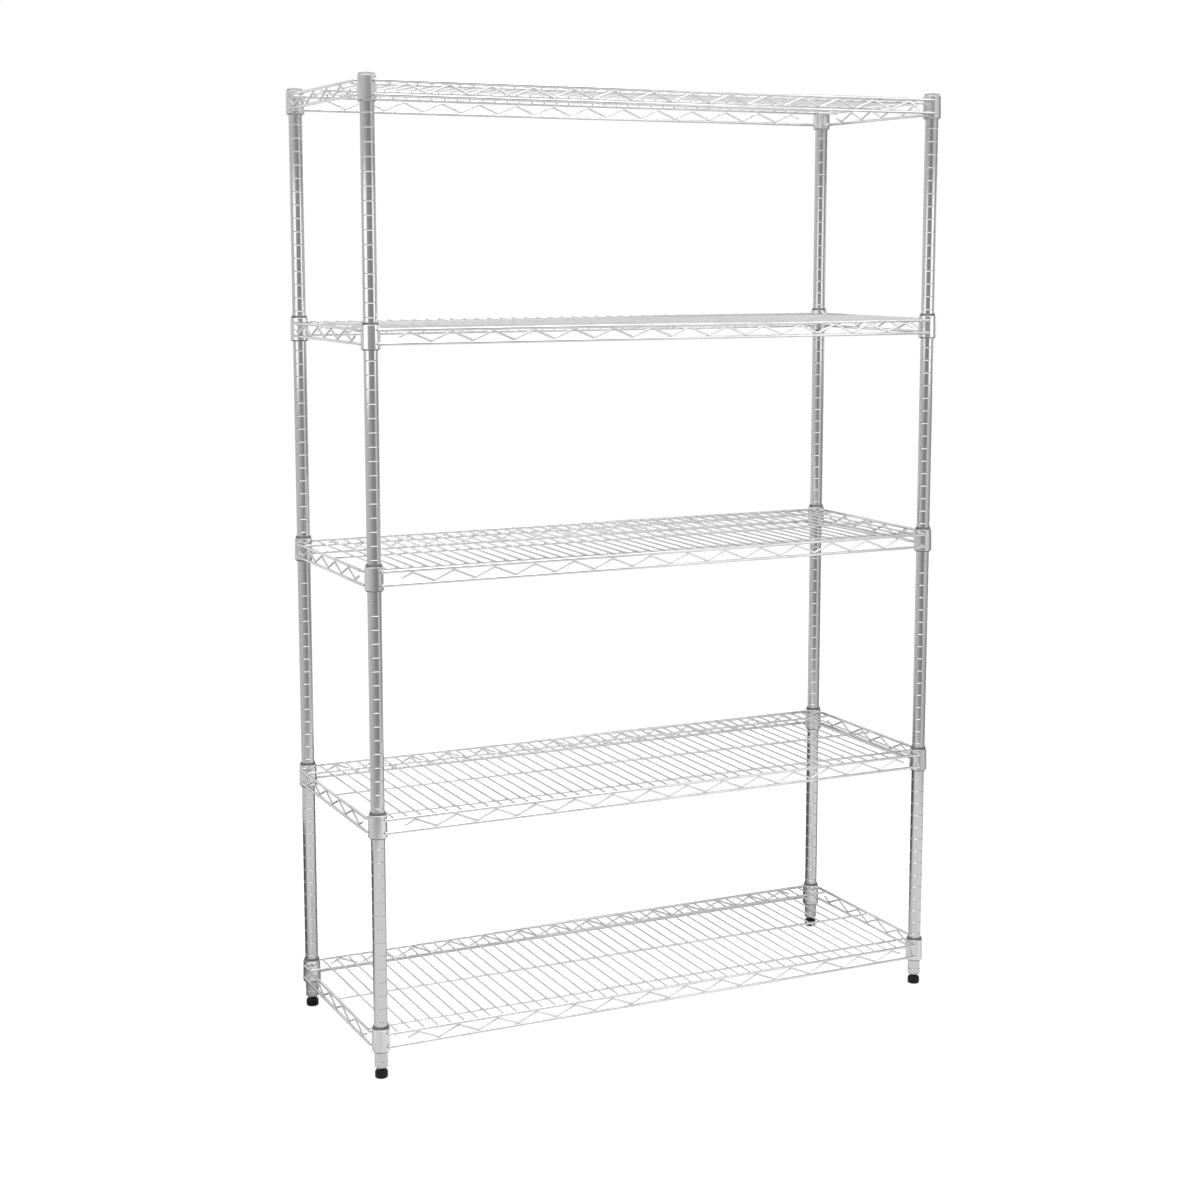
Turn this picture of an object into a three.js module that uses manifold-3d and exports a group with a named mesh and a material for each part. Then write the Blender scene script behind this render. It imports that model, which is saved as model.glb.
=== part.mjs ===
// A free-standing wire shelving rack. Four grooved tubular posts, each in two lengths, carry five
// welded wire shelves. Every shelf has a tapered collar at each corner, which wedges down over a
// split sleeve snapped into a groove of the post. Each post ends in a domed cap above and in a
// levelling foot below.
//
// Millimetres. X is the width, Y the depth with the front at -Y, and Z is up from the floor.

import * as THREE from "three";
import { mergeVertices } from "three/addons/utils/BufferGeometryUtils.js";
import Module from "manifold-3d";

const wasm = await Module();
wasm.setup();

// Overall size, over the outermost rails and from the floor to the top of the caps.
const overallWidth = 1200;
const overallDepth = 450;
const overallHeight = 1800;

// Clearances. Parts that fit together stay this far apart, and welds bite this deep.
const fitGap = 0.3;
const weldBite = 0.4;

// Posts.
const postDiameter = 25.4;
const postWall = 1.2;
const groovePitch = 25;
const topGrooveInset = 14;
const lowestSeatHeight = 60;
const jointGrooveCount = 2;
const couplerLength = 36;

// Caps.
const capDome = 4;
const capShoulder = 1.4;
const capPlug = 12;

// Sleeves. The wall grows from the top to the bottom, which makes the taper.
const sleeveTopWall = 1.7;
const sleeveBottomWall = 2.7;
const sleeveRim = 4.5;
const sleeveHang = 2;
const sleeveSlit = 1.2;

// Collars.
const collarHeight = 42;
const collarWall = 1.5;
const collarBelowGroove = 30;

// Rails, the long bars of each truss.
const railDiameter = 5.5;
const railWeldDepth = 2.7;
const railEndShare = 0.4;
const topRailDrop = 8.5;
const bottomRailRise = 9;

// Zigzag wires between the rails.
const zigzagWidth = 4;
const zigzagThickness = 2.6;
const frontZigzagBends = 27;
const sideZigzagBends = 9;
const sideZigzagInset = 51;

// Deck wires.
const crossWireCount = 43;
const crossWiresPerWave = 3;
const crossWireDiameter = 3.2;
const crossWireRise = 1;
const supportDiameter = 4.5;
const supportInset = 33;

// Levelling feet.
const padHeight = 15;
const padDiameter = 24;
const padBaseDiameter = 20;
const padEdge = 4;
const padFloor = 6.5;
const padNeckGap = 1;
const studDiameter = 8;
const studHeadDiameter = 12.4;
const studHeadHeight = 4;
const studLength = 39;
const insertFlange = 6;
const insertTipDiameter = 11;
const insertLength = 24;

// Shelf heights as shares of the run of grooves, counted down from the top one.
const shelfSeatShares = { bottom: 1, lower: 0.765, middle: 0.5, upper: 0.25, top: 0 };

// How round the pieces are drawn.
const roundSides = 12;
const railSides = 6;
const wireSides = 4;

// Heights along the post.
const insertTip = padHeight + padNeckGap;
const postBottom = insertTip + insertFlange;
const postTop = overallHeight - capDome;
const topGroove = postTop - topGrooveInset;
const lowestGroove = postBottom + lowestSeatHeight;
const grooveSteps = Math.round((topGroove - lowestGroove) / groovePitch);
const seatHeight = (share) => topGroove - Math.round(share * grooveSteps) * groovePitch;
const jointHeight = seatHeight(shelfSeatShares.middle) - jointGrooveCount * groovePitch;

// Radii of what nests round the post.
const postRadius = postDiameter / 2;
const postBore = postRadius - postWall;
const plugRadius = postBore - fitGap;
const sleeveBore = postRadius + fitGap;
const sleeveHeight = collarHeight + sleeveRim + sleeveHang;
const sleeveTopRadius = sleeveBore + sleeveTopWall;
const sleeveBottomRadius = sleeveBore + sleeveBottomWall;
const sleeveRadiusAt = (aboveCollarBase) =>
  THREE.MathUtils.lerp(sleeveBottomRadius, sleeveTopRadius, (aboveCollarBase + sleeveHang) / sleeveHeight);
const collarBaseBore = sleeveRadiusAt(0) + fitGap;
const collarTopBore = sleeveRadiusAt(collarHeight) + fitGap;
const collarBaseRadius = collarBaseBore + collarWall;
const collarTopRadius = collarTopBore + collarWall;

// Plan of a shelf, measured from its centre. Rails run outside the posts' centre lines.
const railRadius = railDiameter / 2;
const railOffset = collarBaseRadius + railRadius - railWeldDepth;
const postX = overallWidth / 2 - railRadius - railOffset;
const postY = overallDepth / 2 - railRadius - railOffset;
const railX = postX + railOffset;
const railY = postY + railOffset;
const railEndInset = collarBaseRadius * railEndShare;

// Heights inside a shelf, measured from the base of its collars.
const topRailHeight = collarHeight - topRailDrop;
const bottomRailHeight = bottomRailRise;
const crossWireRadius = crossWireDiameter / 2;
const supportRadius = supportDiameter / 2;
const crossWireHeight = topRailHeight + crossWireRise;
const supportContact = crossWireHeight - crossWireRadius - supportRadius;

const chrome = new THREE.MeshStandardMaterial({ color: 0xc9ccd0, metalness: 1, roughness: 0.12 });
const zincSteel = new THREE.MeshStandardMaterial({ color: 0x9a9da1, metalness: 1, roughness: 0.35 });
const greyPlastic = new THREE.MeshStandardMaterial({ color: 0x3d3f42, metalness: 0, roughness: 0.45 });
const blackPlastic = new THREE.MeshStandardMaterial({ color: 0x0c0c0d, metalness: 0, roughness: 0.4 });

/** Turns a three.js geometry into a closed solid that can be joined and cut. */
function solidOf(geometry) {
  const bare = geometry.index ? geometry.toNonIndexed() : geometry.clone();
  bare.deleteAttribute("normal");
  bare.deleteAttribute("uv");
  const merged = mergeVertices(bare);
  return new wasm.Manifold(
    new wasm.Mesh({
      numProp: 3,
      vertProperties: new Float32Array(merged.attributes.position.array),
      triVerts: new Uint32Array(merged.index.array),
    }),
  );
}

/** Turns a solid back into a geometry for a mesh. */
function geometryOf(solid) {
  const mesh = solid.getMesh();
  const geometry = new THREE.BufferGeometry();
  geometry.setAttribute("position", new THREE.BufferAttribute(new Float32Array(mesh.vertProperties), 3));
  geometry.setIndex(new THREE.BufferAttribute(new Uint32Array(mesh.triVerts), 1));
  geometry.computeVertexNormals();
  return geometry;
}

/** Joins solids into one. */
const joined = (solids) => solids.reduce((sum, solid) => sum.add(solid));

/** A turned piece about Z. The profile lists [radius, height] points anticlockwise. */
function turned(profile, sides = roundSides) {
  const points = profile.map(([radius, height]) => new THREE.Vector2(radius, height));
  const first = profile[0];
  const last = profile[profile.length - 1];
  if (first[0] !== 0 || last[0] !== 0) points.push(points[0].clone());
  return new THREE.LatheGeometry(points, sides).rotateX(Math.PI / 2);
}

/** A straight bar between two points, with flat ends. A vertex faces up, or else a flat does. */
function bar(start, end, radius, sides, vertexUp) {
  const outline = new THREE.Shape();
  const turn = vertexUp ? Math.PI / 2 : 0;
  const corners = Array.from({ length: sides }, (_, i) => turn + (i * 2 * Math.PI) / sides);
  outline.setFromPoints(
    corners.map((angle) => new THREE.Vector2(radius * Math.cos(angle), radius * Math.sin(angle))),
  );
  const along = new THREE.Vector3().subVectors(end, start);
  const geometry = new THREE.ExtrudeGeometry(outline, { depth: along.length(), bevelEnabled: false });
  const forward = along.normalize();
  const up = new THREE.Vector3(0, 0, 1);
  const side = new THREE.Vector3().crossVectors(up, forward);
  const placed = new THREE.Matrix4().makeBasis(side, up, forward).setPosition(start);
  return geometry.applyMatrix4(placed);
}

/** A bar along X at the given depth and height, centred on the shelf. */
function barAlongX(halfLength, y, z, radius, sides, vertexUp) {
  const start = new THREE.Vector3(-halfLength, y, z);
  return bar(start, new THREE.Vector3(halfLength, y, z), radius, sides, vertexUp);
}

/** A bar along Y at the given width and height, centred on the shelf. */
function barAlongY(halfLength, x, z, radius, sides, vertexUp) {
  const start = new THREE.Vector3(x, -halfLength, z);
  return bar(start, new THREE.Vector3(x, halfLength, z), radius, sides, vertexUp);
}

/**
 * The zigzag wire of one truss, along X and centred, at its height in the shelf.
 * Its bends are welded to the rails by turns, and its ends are cut off half way up.
 */
function zigzag(bends, halfPitch, startsHigh) {
  const railFlat = railRadius * Math.cos(Math.PI / railSides);
  const ceiling = topRailHeight - railFlat + weldBite;
  const floor = bottomRailHeight + railFlat - weldBite;
  const legSlope = Math.atan((ceiling - floor - zigzagWidth) / halfPitch);
  const mitre = zigzagWidth / 2 / Math.cos(legSlope);
  const middle = (ceiling + floor) / 2;
  const above = [];
  const below = [];
  const end = (bends * halfPitch) / 2;
  const cut = new THREE.Vector2(Math.sin(legSlope), Math.cos(legSlope)).multiplyScalar(zigzagWidth / 2);
  const lean = startsHigh ? -1 : 1;
  above.push(new THREE.Vector2(-end + lean * cut.x, middle + cut.y));
  below.push(new THREE.Vector2(-end - lean * cut.x, middle - cut.y));
  for (let i = 0; i < bends; i++) {
    const along = (i - (bends - 1) / 2) * halfPitch;
    const high = (i % 2 === 0) === startsHigh;
    above.push(new THREE.Vector2(along, high ? ceiling : floor + 2 * mitre));
    below.push(new THREE.Vector2(along, high ? ceiling - 2 * mitre : floor));
  }
  above.push(new THREE.Vector2(end - lean * cut.x, middle + cut.y));
  below.push(new THREE.Vector2(end + lean * cut.x, middle - cut.y));
  const outline = new THREE.Shape([...below, ...above.reverse()]);
  const geometry = new THREE.ExtrudeGeometry(outline, { depth: zigzagThickness, bevelEnabled: false });
  return geometry.translate(0, 0, -zigzagThickness / 2).rotateX(Math.PI / 2);
}

const wirePitch = (2 * postX) / (crossWireCount + 1);
const frontHalfPitch = (wirePitch * crossWiresPerWave) / 2;
const sideHalfPitch = (2 * (postY - sideZigzagInset)) / (sideZigzagBends - 1);

/** The tapered collar of a shelf's corner, its base at height zero. */
function collar() {
  return turned([
    [collarBaseBore, 0],
    [collarBaseRadius, 0],
    [collarTopRadius, collarHeight],
    [collarTopBore, collarHeight],
  ]);
}

/** A shelf's frame: collars, rails, zigzag wires, and the front and back support wires. */
function shelfFrame() {
  const parts = [];
  const supportHeight = supportContact - fitGap;
  for (const sideX of [-1, 1])
    for (const sideY of [-1, 1]) parts.push(collar().translate(sideX * postX, sideY * postY, 0));
  for (const side of [-1, 1]) {
    for (const height of [topRailHeight, bottomRailHeight]) {
      parts.push(barAlongX(postX - railEndInset, side * railY, height, railRadius, railSides, false));
      parts.push(barAlongY(postY - railEndInset, side * railX, height, railRadius, railSides, false));
    }
    parts.push(zigzag(frontZigzagBends, frontHalfPitch, true).translate(0, side * railY, 0));
    const sideZigzag = zigzag(sideZigzagBends, sideHalfPitch, false);
    parts.push(sideZigzag.rotateZ(Math.PI / 2).translate(side * railX, 0, 0));
    const supportY = side * (postY - supportInset);
    parts.push(barAlongX(railX, supportY, supportHeight, supportRadius, railSides, true));
  }
  return geometryOf(joined(parts.map(solidOf)));
}

/** A shelf's deck: the cross wires, and the middle support wire that is welded under them all. */
function shelfDeck() {
  const wireEnd = railY - railRadius - fitGap;
  const supportEnd = railX - railRadius - fitGap;
  const supportHeight = supportContact + weldBite;
  const parts = [barAlongX(supportEnd, 0, supportHeight, supportRadius, railSides, true)];
  for (let i = 1; i <= crossWireCount; i++)
    parts.push(barAlongY(wireEnd, i * wirePitch - postX, crossWireHeight, crossWireRadius, wireSides, true));
  return geometryOf(joined(parts.map(solidOf)));
}

/** A split sleeve, with its height measured from the base of the collar that it carries. */
function sleeve() {
  const ring = turned([
    [sleeveBore, -sleeveHang],
    [sleeveBottomRadius, -sleeveHang],
    [sleeveTopRadius, collarHeight + sleeveRim],
    [sleeveBore, collarHeight + sleeveRim],
  ]);
  const slit = new THREE.BoxGeometry(sleeveBottomRadius, sleeveSlit, 2 * sleeveHeight);
  slit.translate(sleeveBore, 0, sleeveHeight / 2);
  return geometryOf(solidOf(ring).subtract(solidOf(slit)));
}

/** A length of post tube. */
function tube(bottom, top) {
  return turned([
    [postBore, bottom],
    [postRadius, bottom],
    [postRadius, top],
    [postBore, top],
  ]);
}

/** The plug inside a post where its two lengths meet. */
function coupler() {
  return turned([
    [0, jointHeight - couplerLength / 2],
    [plugRadius, jointHeight - couplerLength / 2],
    [plugRadius, jointHeight + couplerLength / 2],
    [0, jointHeight + couplerLength / 2],
  ]);
}

/** The domed cap, with its plug inside the post. */
function cap() {
  const seat = postTop + fitGap;
  const crownRadius = (postRadius + plugRadius) / 2 / Math.SQRT2;
  return turned([
    [0, seat - capPlug],
    [plugRadius, seat - capPlug],
    [plugRadius, seat],
    [postRadius, seat],
    [postRadius, seat + capShoulder],
    [crownRadius, overallHeight - (capDome - capShoulder) / 4],
    [0, overallHeight],
  ]);
}

/** The threaded insert in a post's lower end, with the tapered flange that shows below the tube. */
function footInsert() {
  const bore = studDiameter / 2 + fitGap;
  return turned([
    [bore, insertTip],
    [insertTipDiameter / 2, insertTip],
    [postRadius, postBottom - fitGap],
    [plugRadius, postBottom - fitGap],
    [plugRadius, postBottom + insertLength],
    [bore, postBottom + insertLength],
  ]);
}

/** The levelling stud. Its head turns in the pad and its shank screws into the insert. */
function footStud() {
  const headBottom = padFloor + fitGap;
  const headTop = headBottom + studHeadHeight;
  return turned([
    [0, headBottom],
    [studHeadDiameter / 2, headBottom],
    [studHeadDiameter / 2, headTop],
    [studDiameter / 2, headTop],
    [studDiameter / 2, headBottom + studLength],
    [0, headBottom + studLength],
  ]);
}

/** The round pad that stands on the floor, with the pocket that holds the stud's head. */
function footPad() {
  const bore = studDiameter / 2 + fitGap;
  const pocket = studHeadDiameter / 2 + fitGap;
  const pocketTop = padFloor + studHeadHeight + 2 * fitGap;
  return turned([
    [0, 0],
    [padBaseDiameter / 2, 0],
    [padDiameter / 2, padEdge],
    [padDiameter / 2, padHeight - padEdge],
    [padBaseDiameter / 2, padHeight],
    [bore, padHeight],
    [bore, pocketTop],
    [pocket, pocketTop],
    [pocket, padFloor],
    [0, padFloor],
  ]);
}

/** A named mesh. */
function piece(name, geometry, material) {
  const mesh = new THREE.Mesh(geometry, material);
  mesh.name = name;
  return mesh;
}

const corners = {
  front_left: [-1, -1],
  front_right: [1, -1],
  back_left: [-1, 1],
  back_right: [1, 1],
};

const rack = new THREE.Group();

const postPieces = {
  post_lower: [tube(postBottom, jointHeight - fitGap / 2), chrome],
  post_upper: [tube(jointHeight + fitGap / 2, postTop), chrome],
  post_coupler: [coupler(), zincSteel],
  post_cap: [cap(), greyPlastic],
  foot_insert: [footInsert(), zincSteel],
  foot_stud: [footStud(), zincSteel],
  foot_pad: [footPad(), blackPlastic],
};

for (const [corner, [sideX, sideY]] of Object.entries(corners)) {
  const post = new THREE.Group();
  post.position.set(sideX * postX, sideY * postY, 0);
  for (const [name, [geometry, material]] of Object.entries(postPieces))
    post.add(piece(`${name}_${corner}`, geometry, material));
  rack.add(post);
}

const frameGeometry = shelfFrame();
const deckGeometry = shelfDeck();
const sleeveGeometry = sleeve();

for (const [name, share] of Object.entries(shelfSeatShares)) {
  const shelf = new THREE.Group();
  shelf.position.z = seatHeight(share) - collarBelowGroove;
  shelf.add(piece(`${name}_shelf_frame`, frameGeometry, chrome));
  shelf.add(piece(`${name}_shelf_deck`, deckGeometry, chrome));
  for (const [corner, [sideX, sideY]] of Object.entries(corners)) {
    const ring = piece(`sleeve_${name}_${corner}`, sleeveGeometry, greyPlastic);
    ring.position.set(sideX * postX, sideY * postY, 0);
    ring.rotation.z = sideX > 0 ? Math.PI : 0;
    shelf.add(ring);
  }
  rack.add(shelf);
}

export default rack;
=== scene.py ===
import logging
import math
from dataclasses import dataclass
from enum import Enum
from typing import Iterable, Sequence

import bmesh
import bpy
from mathutils import Matrix, Vector


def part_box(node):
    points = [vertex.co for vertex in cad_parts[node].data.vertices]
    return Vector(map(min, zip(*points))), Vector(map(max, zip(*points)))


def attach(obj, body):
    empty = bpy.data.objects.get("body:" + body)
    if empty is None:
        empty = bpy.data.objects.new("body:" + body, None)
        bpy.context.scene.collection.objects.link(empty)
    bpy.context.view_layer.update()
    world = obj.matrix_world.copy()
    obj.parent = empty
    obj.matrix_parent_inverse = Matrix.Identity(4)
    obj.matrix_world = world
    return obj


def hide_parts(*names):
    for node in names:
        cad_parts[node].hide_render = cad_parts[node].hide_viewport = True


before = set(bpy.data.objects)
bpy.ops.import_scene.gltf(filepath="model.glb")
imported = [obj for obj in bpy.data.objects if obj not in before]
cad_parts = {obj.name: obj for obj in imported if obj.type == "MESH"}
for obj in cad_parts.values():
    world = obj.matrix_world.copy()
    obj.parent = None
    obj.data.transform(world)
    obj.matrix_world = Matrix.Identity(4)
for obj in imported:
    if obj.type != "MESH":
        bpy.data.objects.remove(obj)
LOG = logging.getLogger("wire_shelving_rack")

MM = 0.001
QUARTER_TURN = math.pi / 2
WHITE = (1, 1, 1, 1)
Colour = tuple[float, float, float]
Mesh = bmesh.types.BMesh
Points = Sequence[tuple[float, float]]
Socket = bpy.types.NodeSocket


class Corner(Enum):
    """The corners of the rack, each with the side of the middle that it lies on."""

    FRONT_LEFT = ("front_left", -1, -1)
    FRONT_RIGHT = ("front_right", 1, -1)
    BACK_LEFT = ("back_left", -1, 1)
    BACK_RIGHT = ("back_right", 1, 1)

    @property
    def label(self) -> str:
        """The corner's name in the node names."""
        return self.value[0]

    @property
    def across(self) -> int:
        """1 on the right of the rack and -1 on the left."""
        return self.value[1]

    @property
    def deep(self) -> int:
        """1 at the back of the rack and -1 at the front."""
        return self.value[2]


class Shelf(Enum):
    """The shelves, from the lowest to the highest."""

    BOTTOM = "bottom"
    LOWER = "lower"
    MIDDLE = "middle"
    UPPER = "upper"
    TOP = "top"


class Node:
    """Names and places of the modelled solids that the dressed pieces stand for."""

    @staticmethod
    def at(part: str, corner: Corner) -> str:
        """The solid of a post's part at one corner."""
        return f"{part}_{corner.label}"

    @staticmethod
    def frame(shelf: Shelf) -> str:
        """The solid of a shelf's rails, collars and zigzag wires."""
        return f"{shelf.value}_shelf_frame"

    @staticmethod
    def deck(shelf: Shelf) -> str:
        """The solid of a shelf's cross wires."""
        return f"{shelf.value}_shelf_deck"

    @staticmethod
    def sleeve(shelf: Shelf, corner: Corner) -> str:
        """The solid of the split sleeve under one collar."""
        return f"sleeve_{shelf.value}_{corner.label}"

    @staticmethod
    def centre(node: str) -> Vector:
        """The point below a solid's middle, at height zero."""
        low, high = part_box(node)
        return Vector(((low[0] + high[0]) / 2, (low[1] + high[1]) / 2, 0.0))

    @staticmethod
    def heights(node: str) -> tuple[float, float]:
        """The lowest and highest points of a solid."""
        low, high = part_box(node)
        return low[2], high[2]


class Shaping:
    """Mesh operations that several pieces share."""

    MERGE = 1e-6
    CREASE = math.radians(40)
    DOME = 0.6
    DOME_ANGLES = (0.0, 0.6, 1.1, QUARTER_TURN)

    @staticmethod
    def outline(mesh: Mesh, profile: Points, closed: bool) -> list:
        """Draws a profile beside the Z axis.

        Args:
            mesh: The mesh to draw it in.
            profile: Radius and height of each point, in metres.
            closed: Whether the last point joins the first, as on a ring.

        Returns:
            The points and edges drawn.
        """
        points = [mesh.verts.new((radius, 0.0, height)) for radius, height in profile]
        pairs = list(zip(points, points[1:]))
        if closed:
            pairs.append((points[-1], points[0]))
        return points + [mesh.edges.new(pair) for pair in pairs]

    @staticmethod
    def spin(
        mesh: Mesh, drawn: list, angle: float, steps: int, merge: bool = False, rise: float = 0.0
    ) -> None:
        """Spins an outline round the Z axis.

        Args:
            mesh: The mesh that holds the outline.
            drawn: The outline's points and edges.
            angle: How far it turns, in radians.
            steps: How many flats that gives.
            merge: Whether the end meets the start.
            rise: How far each step climbs.
        """
        bmesh.ops.spin(
            mesh,
            geom=drawn,
            cent=(0, 0, 0),
            axis=(0, 0, 1),
            dvec=(0, 0, rise),
            angle=angle,
            steps=steps,
            use_merge=merge,
        )

    @staticmethod
    def turned(profile: Points, flats: int = 48, closed: bool = False) -> Mesh:
        """Spins a profile all the way round the Z axis.

        Args:
            profile: Radius and height of each point, in metres.
            flats: How many flats the full turn has.
            closed: Whether the last point joins the first, as on a ring.

        Returns:
            The turned mesh, with its faces pointing outwards.
        """
        mesh = bmesh.new()
        drawn = Shaping.outline(mesh, profile, closed)
        Shaping.spin(mesh, drawn, math.tau, flats, merge=True)
        return Shaping.tidied(mesh)

    @staticmethod
    def tidied(mesh: Mesh) -> Mesh:
        """Merges doubled points and turns the faces outwards.

        Args:
            mesh: The mesh to mend.

        Returns:
            The same mesh.
        """
        bmesh.ops.remove_doubles(mesh, verts=mesh.verts, dist=Shaping.MERGE)
        bmesh.ops.recalc_face_normals(mesh, faces=mesh.faces)
        return mesh

    @staticmethod
    def capped(mesh: Mesh) -> Mesh:
        """Closes the open ends of a mesh.

        Args:
            mesh: The mesh to close.

        Returns:
            The same mesh.
        """
        rims = [edge for edge in mesh.edges if edge.is_boundary]
        bmesh.ops.holes_fill(mesh, edges=rims, sides=0)
        return Shaping.tidied(mesh)

    @staticmethod
    def moved(mesh: Mesh, place: Matrix) -> Mesh:
        """Moves every point of a mesh to a place, and returns the same mesh."""
        bmesh.ops.transform(mesh, matrix=place, verts=mesh.verts)
        return mesh

    @staticmethod
    def copied(mesh: bpy.types.Mesh, place: Matrix) -> bpy.types.Mesh:
        """Copies a finished mesh to another place.

        Args:
            mesh: The mesh to copy.
            place: Where the copy goes.

        Returns:
            The copy, with the place in its points.
        """
        twin = mesh.copy()
        twin.transform(place)
        return twin

    @staticmethod
    def rod(start: Vector, end: Vector, radius: float, flats: int) -> Mesh:
        """A straight wire with rounded ends.

        Args:
            start: The tip of one end.
            end: The tip of the other end.
            radius: The wire's radius.
            flats: How many flats go round it.

        Returns:
            The wire's mesh.
        """
        length = (end - start).length
        bow = [
            (radius * math.sin(angle), radius * Shaping.DOME * (1 - math.cos(angle)))
            for angle in Shaping.DOME_ANGLES
        ]
        far_bow = [(reach, length - rise) for reach, rise in reversed(bow)]
        mesh = Shaping.turned(bow + far_bow, flats)
        turn = (end - start).to_track_quat("Z", "Y").to_matrix().to_4x4()
        return Shaping.moved(mesh, Matrix.Translation(start) @ turn)

    @staticmethod
    def swept(stations: Sequence[Matrix], radius: float, sides: int) -> Mesh:
        """Draws a round section along a row of placements.

        Args:
            stations: Where each section goes, its own Z along the wire.
            radius: The wire's radius.
            sides: How many flats go round it.

        Returns:
            The wire's mesh, closed at both ends.
        """
        mesh = bmesh.new()
        bmesh.ops.create_circle(
            mesh, cap_ends=True, radius=radius, segments=sides, matrix=stations[0]
        )
        ring = list(mesh.edges)
        for before, after in zip(stations, stations[1:]):
            grown = bmesh.ops.extrude_edge_only(mesh, edges=ring)["geom"]
            points = [item for item in grown if isinstance(item, bmesh.types.BMVert)]
            bmesh.ops.transform(mesh, matrix=after @ before.inverted(), verts=points)
            rim = set(points)
            ring = [
                item
                for item in grown
                if isinstance(item, bmesh.types.BMEdge) and rim.issuperset(item.verts)
            ]
        bmesh.ops.holes_fill(mesh, edges=ring, sides=sides)
        return Shaping.tidied(mesh)

    @staticmethod
    def gathered(parts: Iterable[Mesh]) -> bpy.types.Mesh:
        """Puts several meshes into one, and frees them.

        Args:
            parts: The meshes to gather.

        Returns:
            One mesh that holds them all, shaded smooth but for its sharp edges.
        """
        whole = bmesh.new()
        for part in parts:
            held = bpy.data.meshes.new("part")
            part.to_mesh(held)
            part.free()
            whole.from_mesh(held)
            bpy.data.meshes.remove(held)
        for face in whole.faces:
            face.smooth = True
        for edge in whole.edges:
            edge.smooth = edge.is_boundary or edge.calc_face_angle(0.0) < Shaping.CREASE
        mesh = bpy.data.meshes.new("gathered")
        whole.to_mesh(mesh)
        whole.free()
        return mesh


class Tree:
    """Builds a node tree by named values and links."""

    def __init__(self, tree: bpy.types.NodeTree) -> None:
        """Keeps the lists that new nodes and links go into."""
        self.nodes = tree.nodes
        self.links = tree.links

    @classmethod
    def emptied(cls, owner: bpy.types.ID) -> "Tree":
        """Starts an empty tree.

        Args:
            owner: The material or world that gets it.

        Returns:
            The tree.
        """
        owner.use_nodes = True
        owner.node_tree.nodes.clear()
        return cls(owner.node_tree)

    def add(self, kind: str, inputs: dict | None = None, **settings: object) -> bpy.types.Node:
        """Adds a node.

        Args:
            kind: The node's type.
            inputs: Values or source sockets, by the input's name or number.
            **settings: The node's own options.

        Returns:
            The new node.
        """
        node = self.nodes.new(kind)
        for name, value in settings.items():
            setattr(node, name, value)
        for name, value in (inputs or {}).items():
            if isinstance(value, Socket):
                self.links.new(value, node.inputs[name])
            else:
                node.inputs[name].default_value = value
        return node

    def math(self, operation: str, *values: object) -> Socket:
        """Adds a Math node, with numbers or sockets as its operands."""
        return self.add("ShaderNodeMath", dict(enumerate(values)), operation=operation).outputs[0]

    def between(self, mask: Socket, low: float, high: float) -> Socket:
        """Adds a value that is low where a mask is 0 and high where it is 1."""
        return self.math("MULTIPLY_ADD", mask, high - low, low)

    def ramp(self, factor: Socket, stops: Points) -> Socket:
        """Adds a ramp of greys.

        Args:
            factor: What the ramp reads.
            stops: Position and grey of each stop.

        Returns:
            The ramp's colour.
        """
        node = self.add("ShaderNodeValToRGB", {0: factor})
        elements = node.color_ramp.elements
        while len(elements) < len(stops):
            elements.new(0.5)
        for element, (place, level) in zip(elements, sorted(stops)):
            element.position = place
            element.color = (level, level, level, 1.0)
        return node.outputs[0]

    def rise(self, value: Socket, start: float, end: float) -> Socket:
        """Adds a smooth rise from 0, where a value is at its start, to 1 at its end."""
        inputs = {0: value, "From Min": start, "From Max": end}
        return self.add("ShaderNodeMapRange", inputs, interpolation_type="SMOOTHSTEP").outputs[0]

    def place(self) -> Socket:
        """Adds the place of the point that is shaded."""
        return self.add("ShaderNodeTexCoord").outputs["Object"]

    def axes(self) -> bpy.types.NodeOutputs:
        """Adds the same place as its X, Y and Z."""
        return self.add("ShaderNodeSeparateXYZ", {0: self.place()}).outputs

    def glow(self, strength: Socket) -> Socket:
        """Adds a white glow."""
        return self.add("ShaderNodeEmission", {"Color": WHITE, "Strength": strength}).outputs[0]

    def surface(self, shader: Socket) -> None:
        """Makes a shader the material's surface."""
        self.add("ShaderNodeOutputMaterial", {"Surface": shader})


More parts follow.
